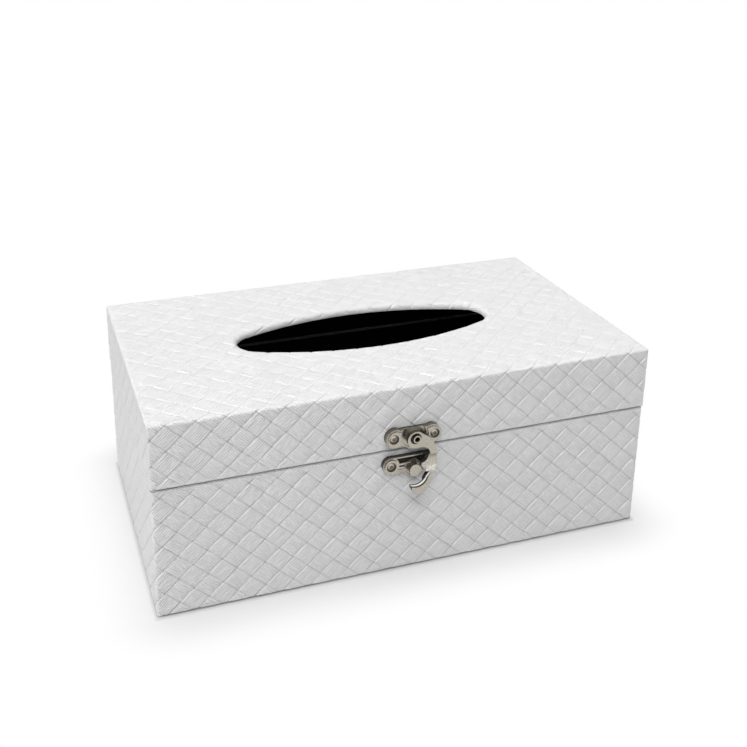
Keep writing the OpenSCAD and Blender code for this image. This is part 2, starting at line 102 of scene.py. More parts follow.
def angle(name, description, degrees):
    """An angle, kept in radians."""
    return FloatProperty(
        name=name, description=description, default=math.radians(degrees), subtype="ANGLE"
    )


class LeatherSizes(PropertyGroup):
    """Sizes of the leatherette and of the weave that is pressed into it."""

    corner: length("Corner radius", "Upright corners and top edges", 0.0014)
    lip: length("Lip radius", "Turn over a rim and under the box", 0.0005)
    thickness: length("Thickness", "Thickness of the leatherette", 0.0008)
    wall: length("Wall board", "Thickness of the boards behind the leatherette", 0.005)
    turn_under: length("Turn-under", "Width of the strip turned under the box", 0.012)
    lid_weave: offset("Lid weave", "Width and height of a diamond on the lid", (0.01354, 0.0125))
    base_weave: offset("Box weave", "Width and height of a diamond on the box", (0.01347, 0.01237))
    lid_crossing: offset("Lid crossing", "A crossing on its front, x and z", (-0.1102, 0.09065))
    base_crossing: offset("Box crossing", "A crossing on its front, x and z", (-0.1139, 0.0554))
    groove: length("Step", "Height of a strip's edge over the strip it crosses", 0.00055)
    dip_reach: length("Dip reach", "Length of the slope that takes a strip under the next", 0.0012)
    crown: length("Crown", "How far a strip rises in its middle", 0.00006)


class SlotSizes(PropertyGroup):
    """Sizes of the oval slot: two long arcs joined by two small ends."""

    half_length: length("Half length", "From the middle to the slot's end", 0.068)
    half_width: length("Half width", "From the middle to the slot's side", 0.0232)
    end: length("End radius", "Radius of the two ends", 0.012)
    edge: length("Edge radius", "Rounding of the slot's upper edge", 0.0024)


class LatchSizes(PropertyGroup):
    """Sizes on the latch that its finish follows."""

    nail_head: length("Nail head", "Radius of a latch nail's head", 0.0019)
    # the dark ring round the rivet's seat is shifted up and left by this: painted shade on the
    # seat's upper-left side
    seat_offset: offset(
        "Seat offset", "From the rivet to the middle of its seat, x and z", (-0.00055, 0.00035)
    )


class Finishes(PropertyGroup):
    """Colours of the materials."""

    leather: colour("Leatherette", "White leatherette", (0.88, 0.88, 0.88))
    # painted shade: the grey of the pressed lines' bottoms and of the lips at the joint
    leather_groove: colour("Leatherette lines", "Bottom of the pressed lines", (0.5, 0.5, 0.5))
    nickel: colour("Nickel", "Worn faces of the antique nickel", (0.54, 0.50, 0.43))
    patina: colour("Patina", "Brown tone on the nickel's sides", (0.16, 0.14, 0.105))
    tarnish: colour("Tarnish", "Black tone in the nickel's recesses", (0.012, 0.011, 0.009))
    # painted highlight: a glint on the inner edge of the hook's tail
    polish: colour("Polish", "Edge of the hook's tail that thumbs polish", (0.92, 0.90, 0.86))
    lining: colour("Lining", "Black flocked lining", (0.006, 0.006, 0.007))
    # painted highlight: a paler band on the linings at the joint, for the light line of the seam
    worn_rim: colour("Worn rim", "The lining's edge at the joint", (0.30, 0.30, 0.32))
    felt: colour("Felt", "Black felt under the box", (0.016, 0.016, 0.018))
    board: colour("Board", "Raw fibreboard", (0.42, 0.29, 0.17))
    floor: colour("Floor", "Plain pale floor", (0.68, 0.68, 0.68))


class StageSettings(PropertyGroup):
    """Camera and light."""

    azimuth: angle("Azimuth", "Camera's turn round the box, from the front", -18.135)
    elevation: angle("Elevation", "Camera's height above the horizon", 17.612)
    roll: angle("Roll", "Camera's tilt about its own axis", 0.016)
    position: offset("Position", "The camera's place", (-0.17555, -0.46963, 0.32111))
    focal_pixels: FloatProperty(
        name="Focal length", description="In pixels of the picture", default=1044.2
    )
    centre_pixels: FloatVectorProperty(
        name="Optical centre",
        description="In pixels of the picture, from its upper left corner",
        default=(325.1, 209.0),
        size=2,
    )
    shadow_reach: length("Shadow reach", "The floor is plain white beyond this", 0.032)
    whiteness: FloatProperty(
        name="Whiteness", description="Share of plain white in the floor at the box", default=0.25
    )
    daylight: FloatProperty(name="Daylight", description="Strength of the world", default=0.25)
    key_watts: FloatProperty(
        name="Key light", description="Power of the lamp overhead", default=28.5, unit="POWER"
    )
    fill_watts: FloatProperty(
        name="Fill light", description="Power of the lamp on the left", default=23, unit="POWER"
    )
    front_watts: FloatProperty(
        name="Front light", description="Power of the lamp high in front", default=26, unit="POWER"
    )


# ------------------------------------------------------------------ materials


def fill(tree, socket, value):
    """Links a wire to a socket, or sets the socket to a plain value."""
    if isinstance(value, Wire):
        tree.links.new(value.socket, socket)
    else:
        socket.default_value = value


class Wire:
    """A shader socket on which sums, products and other nodes are written as Python."""

    def __init__(self, tree, socket):
        self.tree = tree
        self.socket = socket

    def node(self, kind, settings=None, out=0, **inputs):
        """Adds a node: its settings first, then the values or wires of its sockets, which
        go by their names or by i and their number."""
        made = self.tree.nodes.new(kind)
        for key, value in (settings or {}).items():
            setattr(made, key, value)
        for key, value in inputs.items():
            which = int(key[1:]) if key[1:].isdigit() else key.replace("_", " ")
            fill(self.tree, made.inputs[which], value)
        return Wire(self.tree, made.outputs[out])

    def maths(self, operation, *values):
        """A Math node on some values, or on this wire alone."""
        numbered = {f"i{n}": value for n, value in enumerate(values or [self])}
        return self.node("ShaderNodeMath", {"operation": operation}, **numbered)

    def __add__(self, other):
        return self.maths("ADD", self, other)

    def __sub__(self, other):
        return self.maths("SUBTRACT", self, other)

    def __mul__(self, other):
        return self.maths("MULTIPLY", self, other)

    __radd__ = __add__
    __rmul__ = __mul__

    def __rsub__(self, other):
        return self.maths("SUBTRACT", other, self)

    def vector(self, operation, *values, out="Vector"):
        """A Vector Math node on this wire and some values."""
        numbered = {f"i{n}": value for n, value in enumerate((self, *values))}
        return self.node("ShaderNodeVectorMath", {"operation": operation}, out=out, **numbered)

    def size(self):
        """The length of this vector."""
        return self.vector("LENGTH", out="Value")

    def clamp(self):
        return self.maths("MINIMUM", self.maths("MAXIMUM", self, 0.0), 1.0)

    def step(self, low, high):
        """0 below low, 1 above high, and a smooth rise between them."""
        return self.node(
            "ShaderNodeMapRange",
            {"interpolation_type": "SMOOTHSTEP"},
            Value=self,
            From_Min=low,
            From_Max=high,
        )

    def noise(self, scale, detail=3.0, roughness=0.5):
        return self.node(
            "ShaderNodeTexNoise", Vector=self, Scale=scale, Detail=detail, Roughness=roughness
        )

    def mix(self, low, high):
        """A colour between low and high, with this wire as the factor."""
        return self.node("ShaderNodeMix", {"data_type": "RGBA"}, out=2, i0=self, i6=low, i7=high)

    def bump(self, strength, distance):
        return self.node("ShaderNodeBump", Height=self, Strength=strength, Distance=distance)

    def split(self, axis):
        return self.node("ShaderNodeSeparateXYZ", out=axis, Vector=self)


def rgba(shade, share=1.0):
    """A colour with its alpha, or a darker or lighter share of it."""
    return (*(min(1, channel * share) for channel in shade), 1.0)


class Finish:
    """A new material: its tree, its Principled shader, and wires to start from."""

    def __init__(self, name):
        self.material = bpy.data.materials.new(name)
        self.material.use_nodes = True
        self.tree = self.material.node_tree
        self.shader = self.tree.nodes["Principled BSDF"]
        self.start = Wire(self.tree, None)

    def place(self):
        """Object coordinates in metres."""
        return self.start.node("ShaderNodeTexCoord", out="Object")

    def facing(self):
        """The surface's own normal, in the piece's frame."""
        return self.start.node("ShaderNodeTexCoord", out="Normal")

    def attribute(self, name):
        """A number that the mesh carries at its points."""
        return self.start.node("ShaderNodeAttribute", {"attribute_name": name}, out="Fac")

    def set(self, **inputs):
        """Sets or links the shader's sockets, and gives back the material."""
        for key, value in inputs.items():
            fill(self.tree, self.shader.inputs[key.replace("_", " ")], value)
        return self.material


# The leatherette's grain: waves are counted over a strip's width, and scales per metre
STREAKS_ALONG, STREAKS_ACROSS = 2.5, 11.0
NEXT_ROW, NEXT_COLUMN = 7.3, 3.9
RIB_WAVE, RIB_WANDER, RIB_SHARE = 18 * math.pi, 3.0, 0.25
PEBBLES, PEBBLE_SHARE = 1250.0, 0.35
WRINKLES, WRINKLE_SHARE = 1500.0, 0.45
CLOUDS = 22.0
GRAIN_DEPTH = 0.0006
# Its tones, as shares of its colour; the last is painted shade on the threads' sides
CLOUDY, CLEAR, THREAD_SIDE_SHADE = 0.975, 1.015, 0.84
# How near to the joint's middle its lips get the painted shade of the lines, and where that ends
LIP_SHADE = (0.0006, 0.0010)


def leatherette(colours):
    """White coated cloth: fine streaks and ribs along each strip of the weave, a pebbled
    grain, a soft gloss, and painted shade in the pressed lines and on the lips at the joint."""
    finish = Finish("leatherette")
    place, upward = finish.place(), finish.facing().split(2)
    lattice = finish.start.node("ShaderNodeUVMap", {"uv_map": "weave"})
    u, v = lattice.split(0), lattice.split(1)
    row, column = u.maths("FLOOR"), v.maths("FLOOR")
    falls = u.maths("FLOORED_MODULO", row - column, 2.0)
    along, across = u + (v - u) * falls, v + (u - v) * falls
    strip = row * NEXT_ROW + column * NEXT_COLUMN
    stretched = u.node(
        "ShaderNodeCombineXYZ", X=along * STREAKS_ALONG, Y=across * STREAKS_ACROSS, Z=strip
    )
    streaks = stretched.noise(1.0, detail=2.0)
    threads = streaks + (across * RIB_WAVE + streaks * RIB_WANDER).maths("SINE") * RIB_SHARE
    pebbles = place.node("ShaderNodeTexVoronoi", Vector=place, Scale=PEBBLES)
    wrinkles = place.noise(WRINKLES, roughness=0.6)
    cloud = place.noise(CLOUDS)
    tone = cloud.mix(rgba(colours.leather, CLOUDY), rgba(colours.leather, CLEAR))
    # painted shade on the threads' sides, with four fifths of it left off upward faces: the top is
    # painted lighter, as if washed out by the light
    thread_shade = (1 - threads.step(0.25, 0.7)) * (1 - upward.step(0.3, 0.9) * 0.8)
    tone = thread_shade.mix(tone, rgba(colours.leather, THREAD_SIDE_SHADE))
    # painted shade on the lips beside the joint, where the split line lies in shade
    from_joint = (place.split(2) - (LID_LOW.z + BASE_HIGH.z) / 2).maths("ABSOLUTE")
    lip = (1 - from_joint.step(*LIP_SHADE)) * (1 - (upward * upward).step(0.6, 0.9))
    # painted shade in the pressed lines, deepest at their bottoms; the lines are also made rougher
    pressed = finish.attribute("pressed").step(0.75, 1.0)
    # the painted shade of the lines and of the lips together
    dark = pressed.maths("MAXIMUM", pressed, lip)
    return finish.set(
        Base_Color=dark.mix(tone, rgba(colours.leather_groove)),
        Roughness=0.46 + cloud * 0.10 + pressed * 0.2,
        Specular_IOR_Level=0.42,
        Normal=(threads + pebbles * PEBBLE_SHARE + wrinkles * WRINKLE_SHARE).bump(
            1.0, GRAIN_DEPTH
        ),
    )


def nearest(place, centres):
    """Distance in the front's plane to the nearest of some points."""
    flat = place.vector("MULTIPLY", (1, 0, 1))
    gaps = [flat.vector("SUBTRACT", (x, 0, z)).size() for x, z in centres]
    gap = gaps[0]
    for other in gaps[1:]:
        gap = gap.maths("MINIMUM", gap, other)
    return gap


# The plating's scales per metre, and the widths in metres over which its tones change
MOTTLE, SCRATCHES = 900.0, 2600.0
RING_FADE, GLINT_FADE, TAIL_FADE = 0.0001, 0.0003, 0.001


def antique_nickel(colours, name, casting, centres, glint_band=None):
    """Plated and rubbed metal: bright on the faces that look outwards, brown on its sides,
    and nearly black in its recesses and in the rings round the centres (patina and painted
    shade). A painted glint is given as the z that it lies under and the two heights it lies
    between."""
    finish = Finish(name)
    place, facing = finish.place(), finish.facing()
    mottle = place.noise(MOTTLE, detail=4.0, roughness=0.6)
    scratches = place.noise(SCRATCHES, detail=2.0)
    height = place.split(1) * -1.0 + LID_LOW.y
    raised = height.step(*casting.heights)
    outward = (facing.split(1) * -1.0).step(0.5, 0.95)
    # dark rings in the recesses round the nails and the rivet's seat, and in the nails' centres:
    # patina and painted shade
    ring_patina_and_shade = 0.0
    if centres:
        gap = nearest(place, centres)
        start, end = casting.ring
        ring_patina_and_shade = gap.step(start - RING_FADE, start) * (1 - gap.step(end, end + RING_FADE))
    rubbed = (raised * outward * 1.15 - ring_patina_and_shade * 0.85 + (mottle - 0.55) * 0.4).clamp()
    sides = Vector(colours.patina).lerp(Vector(colours.tarnish), casting.darkness)
    browned = raised * (1 - ring_patina_and_shade * 0.6) * mottle.step(0.2, 0.7)
    shade = browned.mix(rgba(colours.tarnish), rgba(sides))
    shade, metal = rubbed.mix(shade, rgba(colours.nickel)), 0.2 + rubbed * 0.75
    # painted highlight: a near-white, less metallic band on the tail's upward-facing inner wall,
    # standing in for a glint
    if glint_band:
        below, low, high = glint_band
        under = 1 - place.split(2).step(below, below + TAIL_FADE)
        band = height.step(low, low + GLINT_FADE) * (1 - height.step(high, high + GLINT_FADE))
        bright = under * band * facing.split(2).step(0.0, 0.6)
        shade, metal = bright.mix(shade, rgba(colours.polish)), metal * (1 - bright * 0.7)
    return finish.set(
        Base_Color=shade,
        Metallic=metal,
        Roughness=0.40 - rubbed * 0.12 + (scratches - 0.5) * 0.12,
        Normal=(mottle + scratches * 0.5).bump(0.15, 0.0001),
    )


def plain_nickel(colours):
    """The same plating on the hinges, lightly mottled all over and brushed lengthwise."""
    finish = Finish("hinge_nickel")
    place = finish.place()
    mottle = place.noise(1100.0, detail=4.0, roughness=0.6)
    brushed = place.node("ShaderNodeMapping", Vector=place, Scale=(60.0, 2500.0, 2500.0))
    return finish.set(
        Base_Color=mottle.step(0.25, 0.6).mix(rgba(colours.nickel, 0.55), rgba(colours.nickel)),
        Metallic=0.95,
        Roughness=0.3 + mottle * 0.16,
        Normal=brushed.noise(1.0, detail=2.0).bump(0.08, 0.0001),
    )


# How far the painted highlight at a lining's rim goes from the joint's middle, and how soon it
# ends
SEAM_REACH, SEAM_FADE = 0.0006, 0.0003


def flocked(name, shade, rim=None):
    """Short dark fibres that drink the light. A rim is given as its height and the paler
    colour of the highlight that is painted along it."""
    finish = Finish(name)
    place = finish.place()
    fibres = place.noise(4200.0, roughness=0.7)
    cloud = place.noise(60.0, detail=2.0)
    tone = (fibres * 0.5 + cloud * 0.5).mix(rgba(shade, 0.6), rgba(shade, 1.6))
    if rim:
        above, (height, pale) = place.split(2), rim
        low, high = height - SEAM_REACH, height + SEAM_REACH
        # painted highlight along the rim at the joint
        seam_band = above.step(low - SEAM_FADE, low) * (1 - above.step(high, high + SEAM_FADE))
        tone = seam_band.mix(tone, rgba(pale))
    return finish.set(
        Base_Color=tone, Roughness=0.95, Specular_IOR_Level=0.12, Normal=fibres.bump(0.35, 0.0002)
    )


def fibreboard(colours):
    """Raw board: brown, with short pressed fibres."""
    finish = Finish("fibreboard")
    place = finish.place()
    fibres = place.noise(1500.0, detail=4.0, roughness=0.7)
    flecks = place.noise(350.0)
    mixed = fibres * 0.6 + flecks * 0.4
    return finish.set(
        Base_Color=mixed.mix(rgba(colours.board, 0.65), rgba(colours.board, 1.3)),
        Roughness=0.85,
        Normal=fibres.bump(0.3, 0.0002),
    )


# ------------------------------------------------------------------ mesh helpers

# Points nearer than this are one
MERGE = 1e-6


def cut(bm, point, normal, drop=False):
    """Cuts a flat sheet along a line, and drops what lies on the normal's side if asked."""
    bmesh.ops.bisect_plane(
        bm,
        geom=bm.verts[:] + bm.edges[:] + bm.faces[:],
        dist=1e-8,
        plane_co=(point[0], point[1], 0),
        plane_no=(normal[0], normal[1], 0),
        clear_outer=drop,
    )


def cut_fan(bm, axis, start, end, steps):
    """Parallel cuts over a stretch of sheet that will be bent. Axis 0 runs along the sheet
    and 1 up it."""
    normal = (1, 0) if axis == 0 else (0, 1)
    for n in range(steps + 1):
        at = start + (end - start) * n / steps
        cut(bm, (at, at), normal)


def finish_piece(bm, name, body, material, node):
    """Makes the mesh a smooth-shaded piece that rides on a body and stands for a CAD node."""
    mesh = bpy.data.meshes.new(name)
    bm.to_mesh(mesh)
    bm.free()
    piece = bpy.data.objects.new(name, mesh)
    bpy.context.scene.collection.objects.link(piece)
    mesh.materials.append(material)
    mesh.shade_smooth()
    mesh.set_sharp_from_angle(angle=SMOOTH_BELOW)
    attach(piece, body)
    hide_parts(node)
    return piece


def paint(node, material):
    """Gives a CAD node a material in every slot."""
    mesh = NODES[node].data
    if not mesh.materials:
        mesh.materials.append(material)
    for n in range(len(mesh.materials)):
        mesh.materials[n] = material


def blend(amount):
    """Smooth step from 0 to 1."""
    amount = min(1.0, max(0.0, amount))
    return amount * amount * (3 - 2 * amount)


# ------------------------------------------------------------------ weave


class Weave:
    """A diagonal basket weave on a flat sheet. The strip crosses over at every other cell
    of a lattice. Across and up are a cell's two diagonals, and origin is a crossing."""

    # where a grid line runs, from the middle of a strip to its border, as shares of
    # half its width
    LINES = (0.0, 0.50, 0.80, 0.92, 1.0)
    # beyond this share a point is on the border, which lies as deep as a crossing strip
    BORDER = 0.99

    def __init__(self, diamond, origin, leather):
        self.across, self.up = diamond
        self.origin = origin
        self.side = math.hypot(self.across, self.up) / 2
        self.leather = leather

    def spot(self, u, v):
        """Where a crossing or a point between crossings lies on the sheet."""
        return (
            self.origin[0] + self.across * (u + v) / 2,
            self.origin[1] + self.up * (u - v) / 2,
        )

    def lattice(self, x, y):
        """The lattice coordinates of a spot, which are whole numbers at the crossings."""
        a, b = (x - self.origin[0]) / self.across, (y - self.origin[1]) / self.up
        return a + b, a - b

    def relief(self, along, across):
        """Height of a strip's surface. Both arguments go from 0 in its middle to 1 at a border."""
        leather = self.leather
        if across > self.BORDER or along > self.BORDER:
            return -leather.groove
        to_end = (1 - along) * self.side / 2
        sunk = max(0.0, 1 - to_end / leather.dip_reach) ** 2
        return -leather.crown * across * across * (1 - sunk) - leather.groove * sunk

    def cell(self, bm, i, j):
        """One raised stretch of strip, as a grid whose lines crowd towards its borders."""
        steps = len(self.LINES) - 1
        grid = bmesh.ops.create_grid(bm, x_segments=2 * steps, y_segments=2 * steps, size=1)
        rises_right = (i - j) % 2 == 0
        for v in grid["verts"]:
            a = math.copysign(self.LINES[round(abs(v.co.x) * steps)], v.co.x)
            b = math.copysign(self.LINES[round(abs(v.co.y) * steps)], v.co.y)
            along, across = (abs(a), abs(b)) if rises_right else (abs(b), abs(a))
            v.co.xy = self.spot(i + 0.5 + a / 2, j + 0.5 + b / 2)
            v.co.z = self.relief(along, across)

    def sheet(self, low, high):
        """A flat sheet of weave, trimmed to the rectangle from low to high."""
        bm = bmesh.new()
        corners = [self.lattice(x, y) for x in (low[0], high[0]) for y in (low[1], high[1])]
        rows, columns = (
            range(math.floor(min(ends)), math.ceil(max(ends))) for ends in zip(*corners)
        )
        half_across, half_up = self.across / 2, self.up / 2
        for i in rows:
            for j in columns:
                x, y = self.spot(i + 0.5, j + 0.5)
                beside = low[0] - half_across < x < high[0] + half_across
                if beside and low[1] - half_up < y < high[1] + half_up:
                    self.cell(bm, i, j)
        bmesh.ops.remove_doubles(bm, verts=bm.verts[:], dist=MERGE)
        cut(bm, low, (-1, 0), drop=True)
        cut(bm, low, (0, -1), drop=True)
        cut(bm, high, (1, 0), drop=True)
        cut(bm, high, (0, 1), drop=True)
        return bm


def wrap(weave, bm, surface):
    """Bends a flat sheet: surface gives a point and its outward normal for each place on it.
    Where a point lies in the weave stays behind as its UV, and how deep it is pressed as
    an attribute."""
    lattice = bm.loops.layers.uv.new("weave")
    for face in bm.faces:
        for loop in face.loops:
            loop[lattice].uv = weave.lattice(loop.vert.co.x, loop.vert.co.y)
    groove = weave.leather.groove
    pressed = bm.verts.layers.float.new("pressed")
    for v in bm.verts:
        x, y, rise = v.co
        point, normal = surface(x, y)
        v[pressed] = min(1.0, -rise / groove)
        v.co = point + normal * rise
    bmesh.ops.recalc_face_normals(bm, faces=bm.faces[:])


class Plan:
    """The outline of the box or the lid seen from above: a rectangle with round corners.
    Places along it are measured from the middle of the front, to the right, up to the
    seam in the middle of the back. To the left they are negative."""

    def __init__(self, low, high, radius):
        self.middle = (low + high) / 2
        self.half = (high - low) / 2
        self.radius = radius
        self.front = self.half.x - radius
        self.arc = radius * QUARTER
        self.side = 2 * (self.half.y - radius)
        self.right = self.front + self.arc
        self.back = self.right + self.side + self.arc
        self.seam = self.back + self.front

    def at(self, s):
        """A point of the outline and its outward direction."""
        t, mirror = abs(s), math.copysign(1, s)
        half, r = self.half, self.radius
        if t <= self.front:
            p, n = (t, -half.y), (0, -1)
        elif t <= self.right:
            turn = (t - self.front) / r
            n = (math.sin(turn), -math.cos(turn))
            p = (half.x - r + r * n[0], r - half.y + r * n[1])
        elif t <= self.right + self.side:
            p, n = (half.x, r - half.y + t - self.right), (1, 0)
        elif t <= self.back:
            turn = (t - self.right - self.side) / r
            n = (math.cos(turn), math.sin(turn))
            p = (half.x - r + r * n[0], half.y - r + r * n[1])
        else:
            p, n = (half.x - r - (t - self.back), half.y), (0, 1)
        point = Vector((mirror * p[0] + self.middle.x, p[1] + self.middle.y, 0))
        return point, Vector((mirror * n[0], n[1], 0))

    def corner_stretches(self):
        """The stretches of the outline that are round, in pairs of start and end."""
        right = [(self.front, self.right), (self.right + self.side, self.back)]
        return right + [(-b, -a) for a, b in right]


def bent_in(plan, s, z, turn, lip, way):
    """A point on a lip: the outline at height z, turned inwards by an angle, up or down."""
    point, outward = plan.at(s)
    normal = outward * math.cos(turn) + UP * (way * math.sin(turn))
    start = point - outward * lip + UP * z
    return start + normal * lip, normal


# Cuts over a corner, and over the turn of a lip
CORNER_CUTS, LIP_CUTS = 5, 4
# Width of the strip beside the seam
SEAM_STRIP = 0.0006


def wall_band(weave, plan, low_z, high_z, lip, top_lip):
    """The walls' leatherette, once round: from under the lower lip up to the upper edge,
    which turns in over a lip or ends where the top sheet takes over."""
    bend = lip * QUARTER
    bottom, top = low_z + lip, high_z - (lip if top_lip else 0)
    bm = weave.sheet((-plan.seam, bottom - bend), (plan.seam, top + (bend if top_lip else 0)))
    for start, end in plan.corner_stretches():
        cut_fan(bm, 0, start, end, CORNER_CUTS)
    cut_fan(bm, 1, bottom - bend, bottom, LIP_CUTS)
    if top_lip:
        cut_fan(bm, 1, top, top + bend, LIP_CUTS)
    cut_fan(bm, 0, -plan.seam, SEAM_STRIP - plan.seam, 1)
    cut_fan(bm, 0, plan.seam - SEAM_STRIP, plan.seam, 1)

    def surface(s, t):
        if t < bottom:
            return bent_in(plan, s, bottom, (bottom - t) / lip, lip, -1)
        if t > top:
            return bent_in(plan, s, top, (t - top) / lip, lip, 1)
        point, outward = plan.at(s)
        return point + UP * t, outward

    return bm, surface


def rim_strips(weave, plan, z, way, lip, width, edge_t, fold):
    """The flat leatherette that goes inwards from a lip: five mitred strips, because the
    back has its seam. way is 1 where the strip looks up, and edge_t is where the walls'
    sheet ended. The strip's last stretch folds away behind its own face."""
    strips = []
    long, short = plan.half.x - lip, plan.half.y - lip
    beside = plan.right + plan.side / 2
    ends = [
        (0.0, long, long),
        (beside, short, short),
        (-beside, short, short),
        (plan.seam, long, 0.0),
        (-plan.seam, 0.0, long),
    ]
    for middle, before, after in ends:
        low, high = sorted((edge_t, edge_t + way * (width + fold)))
        bm = weave.sheet((middle - before, low), (middle + after, high))
        for side, span in ((-1, before), (1, after)):
            if span:
                cut(bm, (middle + side * span, edge_t), (side, way), drop=True)
        cut(bm, (0, edge_t + way * width), (0, 1))
        point, outward = plan.at(middle)
        along = Vector((-outward.y, outward.x, 0))
        start = point - outward * lip + UP * z

        def surface(s, t, start=start, outward=outward, along=along, middle=middle):
            inwards = abs(t - edge_t)
            spot = start + along * (s - middle) - outward * min(inwards, width)
            return spot - UP * (way * max(0.0, inwards - width)), UP * way

        strips.append((weave, bm, surface))
    return strips


def joined(parts):
    """Bends each flat sheet into its place and puts them all into one mesh."""
    whole = bmesh.new()
    scrap = bpy.data.meshes.new("scrap")
    for weave, bm, surface in parts:
        wrap(weave, bm, surface)
        bm.to_mesh(scrap)
        bm.free()
        whole.from_mesh(scrap)
    bpy.data.meshes.remove(scrap)
    return whole


# ------------------------------------------------------------------ lid's top


class Oval:
    """The slot's outline: two long arcs and two ends, with the distance to it."""

    def __init__(self, sizes):
        self.end = sizes.end
        self.end_x = sizes.half_length - sizes.end
        reach = self.end_x**2 + sizes.half_width**2 - sizes.end**2
        self.side = reach / (2 * (sizes.half_width - sizes.end))
        self.side_y = self.side - sizes.half_width

    def distance(self, x, y):
        """How far a point lies outside the outline, and the direction away from it."""
        px, py = abs(x), abs(y)
        if px * self.side_y < self.end_x * (py + self.side_y):
            away, radius = Vector((px, py + self.side_y)), self.side
        else:
            away, radius = Vector((px - self.end_x, py)), self.end
        far = away.length
        away = Vector((math.copysign(away.x, x), math.copysign(away.y, y), 0)) / max(far, 1e-9)
        return far - radius, away


# How far the top sheet goes down behind the walls' sheet, and how far inside it
TUCK, TUCK_INSET = 0.0003, 0.00004
# How far the tube through the slot goes into the lining's thickness
TUBE_END = 0.0005
# The longest edges after each round of cuts near the slot, and how far out those reach
FINENESS, FINE_REACH = (0.0020, 0.0011, 0.0007), 0.0012
# What is kept inside the tube's end, before it is drawn out to it
SLOT_TRIM = 0.0002


def top_sheet(weave, plan, oval, sizes, slot):
    """The lid's top: turned down round the edge, and rolled down through the slot."""
    r, edge = sizes.corner, slot.edge
    bend, roll = r * QUARTER, edge * QUARTER
    core = Vector((plan.half.x - r, plan.half.y - r))
    tube = LID_HIGH.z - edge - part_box("lid_lining")[1].z + TUBE_END
    inner = edge - roll - tube - sizes.thickness
    outer = core + Vector((bend + TUCK, bend + TUCK))
    bm = weave.sheet(-outer, outer)
    for axis in (0, 1):
        for side in (-1, 1):
            cut_fan(bm, axis, side * core[axis], side * (core[axis] + bend), CORNER_CUTS)

    def excess(x, y):
        return Vector((max(0.0, abs(x) - core.x), max(0.0, abs(y) - core.y)))

    gone = []
    for face in bm.faces:
        middle = face.calc_center_median()
        outside = excess(middle.x, middle.y).length > bend + TUCK
        if outside or oval.distance(middle.x, middle.y)[0] < inner - SLOT_TRIM:
            gone.append(face)
    bmesh.ops.delete(bm, geom=gone, context="FACES")
    for fineness in FINENESS:
        near = []
        for e in bm.edges:
            middle = (e.verts[0].co + e.verts[1].co) / 2
            far = oval.distance(middle.x, middle.y)[0]
            if far < edge + FINE_REACH and e.calc_length() > fineness:
                near.append(e)
        bmesh.ops.subdivide_edges(bm, edges=near, cuts=1, use_grid_fill=True)

    def surface(x, y):
        far, away = oval.distance(x, y)
        if far < edge:
            run = edge - max(far, inner)
            spot = Vector((x, y, LID_HIGH.z)) - away * (far - edge)
            turn = min(run / edge, QUARTER)
            normal = UP * math.cos(turn) - away * math.sin(turn)
            spot += -away * (edge * math.sin(turn)) - UP * (edge * (1 - math.cos(turn)))
            down = min(max(0.0, run - roll), tube)
            return spot - UP * down + away * max(0.0, run - roll - tube), normal
        over = excess(x, y)
        run = over.length
        if run == 0:
            return Vector((x, y, LID_HIGH.z)), UP
        way = Vector((math.copysign(over.x, x), math.copysign(over.y, y), 0)) / run
        base_x = math.copysign(min(abs(x), core.x), x)
        base_y = math.copysign(min(abs(y), core.y), y)
        turn = min(run / r, QUARTER)
        normal = way * math.sin(turn) + UP * math.cos(turn)
        spot = Vector((base_x, base_y, LID_HIGH.z - r)) + normal * r
        if run > bend:
            spot -= UP * min(run - bend, TUCK) + way * TUCK_INSET
        return spot, normal

    return bm, surface


# Share of the relief that is left on the rims, where it is pressed flat, and the height
# over which the full relief comes back
RIM_RELIEF, RIM_HEIGHT = 0.3, 0.0022
# Distance over which the relief dies away towards a seam or the next sheet
EASE = 0.001
# The top's relief is lower by this share, beyond these distances from front edge and slot
TOP_PRESSED, FRONT_REACH, SLOT_REACH = 0.45, 0.012, 0.008
# Inside the slot's outline it is eased from the first distance on, over the second
SLOT_INNER, SLOT_EASE = 0.0016, 0.0006
# Where it goes over the top's other edges, as shares of the corner's radius
TURN_START, TURN_SPAN = 0.6, 0.8


def eased(amount):
    """Share of the relief that is left, from the rims' share at 0 to all of it at 1."""
    return RIM_RELIEF + (1 - RIM_RELIEF) * blend(amount)


def ease_relief(bm, amount):
    """Scales a flat sheet's relief by a share that depends on the place."""
    for v in bm.verts:
        v.co.z *= amount(v.co.x, v.co.y)


# ------------------------------------------------------------------ metalwork

# Faces that meet at less than the first are one, and at more than the second have an edge
FLAT, EDGE = math.radians(2), math.radians(35)


def softened(node, width):
    """A CAD node's own shape with its sharp edges rounded, as a new mesh."""
    bm = bmesh.new()
    bm.from_mesh(NODES[node].data)
    bmesh.ops.remove_doubles(bm, verts=bm.verts[:], dist=MERGE)
    bmesh.ops.dissolve_limit(bm, angle_limit=FLAT, verts=bm.verts[:], edges=bm.edges[:])
    bmesh.ops.recalc_face_normals(bm, faces=bm.faces[:])
    edges = [e for e in bm.edges if e.is_manifold and e.calc_face_angle() > EDGE]
    bmesh.ops.bevel(
        bm,
        geom=edges,
        offset=width,
        affect="EDGES",
        segments=2,
        profile=0.5,
        material=-1,
        clamp_overlap=True,
    )
    return bm


# ------------------------------------------------------------------ operators


